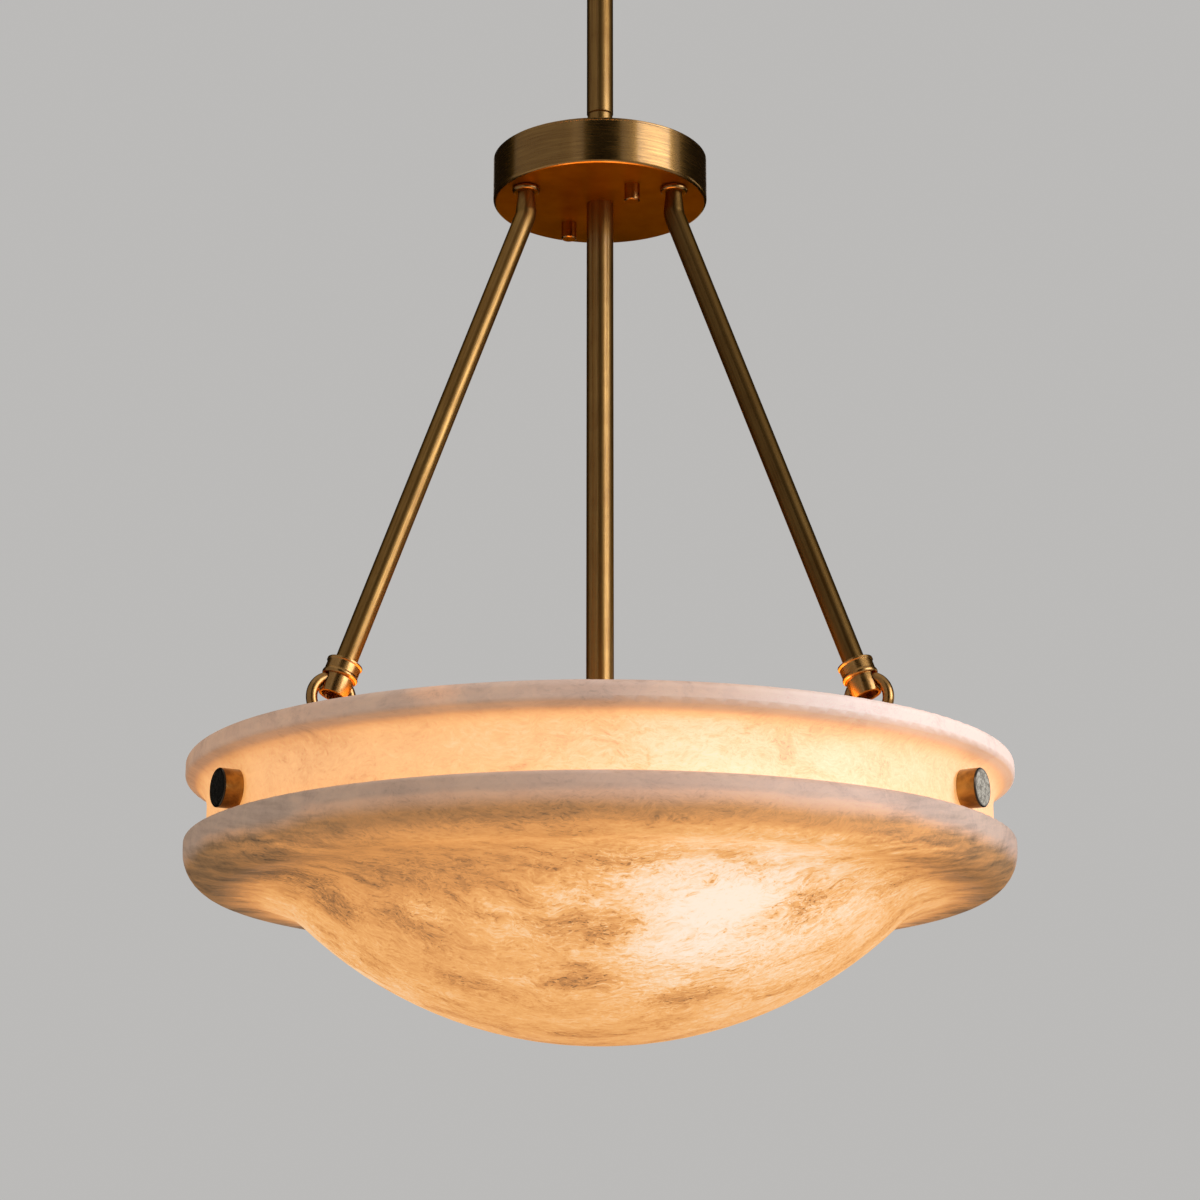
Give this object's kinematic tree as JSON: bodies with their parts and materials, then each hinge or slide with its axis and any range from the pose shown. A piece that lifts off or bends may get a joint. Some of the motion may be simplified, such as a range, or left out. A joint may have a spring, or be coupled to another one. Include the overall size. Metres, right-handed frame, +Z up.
{
  "type": "stone pendant light",
  "caption": "Carved alabaster bowl pendant on slanting brass arms and link rings, hung from a round hub and a swivelling stem under a ceiling canopy, with bulbs inside the bowl.",
  "frame": {"origin": "middle of the crossbar's top face, on the ceiling plane", "axes": "+Z up into the ceiling, -Y towards the viewer of the picture, +X to the viewer's right"},
  "size_m": [0.4634, 0.4634, 0.7213],
  "materials": {
    "alabaster": "satin",
    "aged_brass": "satin",
    "plated_steel": "satin",
    "dark_rubber": "matte",
    "glazed_porcelain": "gloss",
    "bulb_metal": "satin",
    "frosted_glass": "satin"
  },
  "bodies": {
    "ceiling_mount": {"ceiling_crossbar": "plated_steel", "crossbar_studs": "plated_steel", "ceiling_canopy": "aged_brass", "canopy_threaded_tube": "plated_steel", "canopy_lock_nut": "plated_steel", "swivel_cup": "aged_brass", "swivel_ring": "aged_brass"},
    "canopy_nut_left": {"canopy_thumb_nut_left": "aged_brass"},
    "canopy_nut_right": {"canopy_thumb_nut_right": "aged_brass"},
    "swivel": {"swivel_fork": "aged_brass", "swivel_pin": "aged_brass"},
    "pendant": {"swivel_tongue": "aged_brass", "stem": "aged_brass", "stem_neck": "aged_brass", "hub_threaded_tube": "plated_steel", "hub_tube_nut": "plated_steel", "hub_cup": "aged_brass", "hub_lid": "aged_brass", "hub_crossbar": "plated_steel", "hub_studs": "plated_steel", "arm_collars": "aged_brass", "hub_lock_nuts": "plated_steel", "centre_rod": "aged_brass", "lamp_cluster_body": "aged_brass", "lamp_cluster_nut": "plated_steel", "lamp_cluster_cover": "aged_brass", "lamp_nipples": "plated_steel", "arm_left": "aged_brass", "arm_right": "aged_brass", "arm_rear": "aged_brass", "arm_fitting_left": "aged_brass", "arm_fitting_right": "aged_brass", "arm_fitting_rear": "aged_brass", "lamp_socket_front": "glazed_porcelain", "lamp_socket_rear": "glazed_porcelain", "lamp_socket_side": "glazed_porcelain"},
    "hub_nut_front": {"hub_thumb_nut_front": "aged_brass"},
    "hub_nut_rear": {"hub_thumb_nut_rear": "aged_brass"},
    "finial": {"cluster_finial": "aged_brass"},
    "bowl": {"stone_bowl": "alabaster", "knob_gaskets": "dark_rubber", "bracket_pads": "dark_rubber", "knob_studs": "plated_steel", "bracket_nuts": "plated_steel", "bowl_bracket_left": "aged_brass", "bowl_bracket_right": "aged_brass", "bowl_bracket_rear": "aged_brass"},
    "ring_left": {"link_ring_left": "aged_brass"},
    "knob_left": {"bowl_knob_left": "aged_brass"},
    "ring_right": {"link_ring_right": "aged_brass"},
    "knob_right": {"bowl_knob_right": "aged_brass"},
    "ring_rear": {"link_ring_rear": "aged_brass"},
    "knob_rear": {"bowl_knob_rear": "aged_brass"},
    "bulb_front": {"bulb_base_front": "bulb_metal", "bulb_glass_front": "frosted_glass"},
    "bulb_rear": {"bulb_base_rear": "bulb_metal", "bulb_glass_rear": "frosted_glass"},
    "bulb_side": {"bulb_base_side": "bulb_metal", "bulb_glass_side": "frosted_glass"}
  },
  "joints": [
    {"name": "swivel_turn", "type": "hinge", "parent": "ceiling_mount", "child": "swivel", "pos_m": [0, 0, -0.035], "axis": [0, 0, 1], "range_deg": [-170, 170]},
    {"name": "swivel_tilt", "type": "hinge", "parent": "swivel", "child": "pendant", "pos_m": [0, 0, -0.0521], "axis": [0, 1, 0], "range_deg": [-45, 45]},
    {"name": "bowl_twist", "type": "hinge", "parent": "pendant", "child": "bowl", "pos_m": [0, 0, -0.5447], "axis": [0, 0, 1], "range_deg": [-1.2, 1.2]},
    {"name": "ring_left_swing", "type": "hinge", "parent": "pendant", "child": "ring_left", "pos_m": [-0.1422, -0.0821, -0.53682], "axis": [-0.8077, -0.4663, 0.3608], "range_deg": [-10.6, 10.6]},
    {"name": "ring_right_swing", "type": "hinge", "parent": "pendant", "child": "ring_right", "pos_m": [0.1422, -0.0821, -0.53682], "axis": [0.8077, -0.4663, 0.3608], "range_deg": [-10.6, 10.6]},
    {"name": "ring_rear_swing", "type": "hinge", "parent": "pendant", "child": "ring_rear", "pos_m": [0, 0.1642, -0.53682], "axis": [0, 0.9326, 0.3608], "range_deg": [-10.6, 10.6]},
    {"name": "canopy_nut_left_turn", "type": "hinge", "parent": "ceiling_mount", "child": "canopy_nut_left", "pos_m": [-0.03492, 0, -0.027], "axis": [0, 0, 1], "continuous": true},
    {"name": "canopy_nut_right_turn", "type": "hinge", "parent": "ceiling_mount", "child": "canopy_nut_right", "pos_m": [0.03492, 0, -0.027], "axis": [0, 0, 1], "continuous": true},
    {"name": "hub_nut_front_turn", "type": "hinge", "parent": "pendant", "child": "hub_nut_front", "pos_m": [0.01877, -0.02945, -0.2246], "axis": [0, 0, 1], "continuous": true},
    {"name": "hub_nut_rear_turn", "type": "hinge", "parent": "pendant", "child": "hub_nut_rear", "pos_m": [-0.01877, 0.02945, -0.2246], "axis": [0, 0, 1], "continuous": true},
    {"name": "finial_turn", "type": "hinge", "parent": "pendant", "child": "finial", "pos_m": [0, 0, -0.6156], "axis": [0, 0, 1], "continuous": true},
    {"name": "knob_left_turn", "type": "hinge", "parent": "bowl", "child": "knob_left", "pos_m": [-0.19096, -0.11025, -0.5996], "axis": [-0.866, -0.5, 0], "continuous": true},
    {"name": "knob_right_turn", "type": "hinge", "parent": "bowl", "child": "knob_right", "pos_m": [0.19096, -0.11025, -0.5996], "axis": [0.866, -0.5, 0], "continuous": true},
    {"name": "knob_rear_turn", "type": "hinge", "parent": "bowl", "child": "knob_rear", "pos_m": [0, 0.2205, -0.5996], "axis": [0, 1, 0], "continuous": true},
    {"name": "bulb_front_turn", "type": "hinge", "parent": "pendant", "child": "bulb_front", "pos_m": [0.0248, -0.05319, -0.61008], "axis": [0.4134, -0.8865, -0.2079], "continuous": true},
    {"name": "bulb_rear_turn", "type": "hinge", "parent": "pendant", "child": "bulb_rear", "pos_m": [0.03366, 0.04807, -0.61008], "axis": [0.561, 0.8013, -0.2079], "continuous": true},
    {"name": "bulb_side_turn", "type": "hinge", "parent": "pendant", "child": "bulb_side", "pos_m": [-0.05847, 0.00511, -0.61008], "axis": [-0.9744, 0.0853, -0.2079], "continuous": true}
  ],
  "couplings": [
    {"joint": "ring_left_swing", "follows": "bowl_twist", "ratio": 8.7221},
    {"joint": "ring_right_swing", "follows": "bowl_twist", "ratio": 8.7221},
    {"joint": "ring_rear_swing", "follows": "bowl_twist", "ratio": 8.7221}
  ]
}
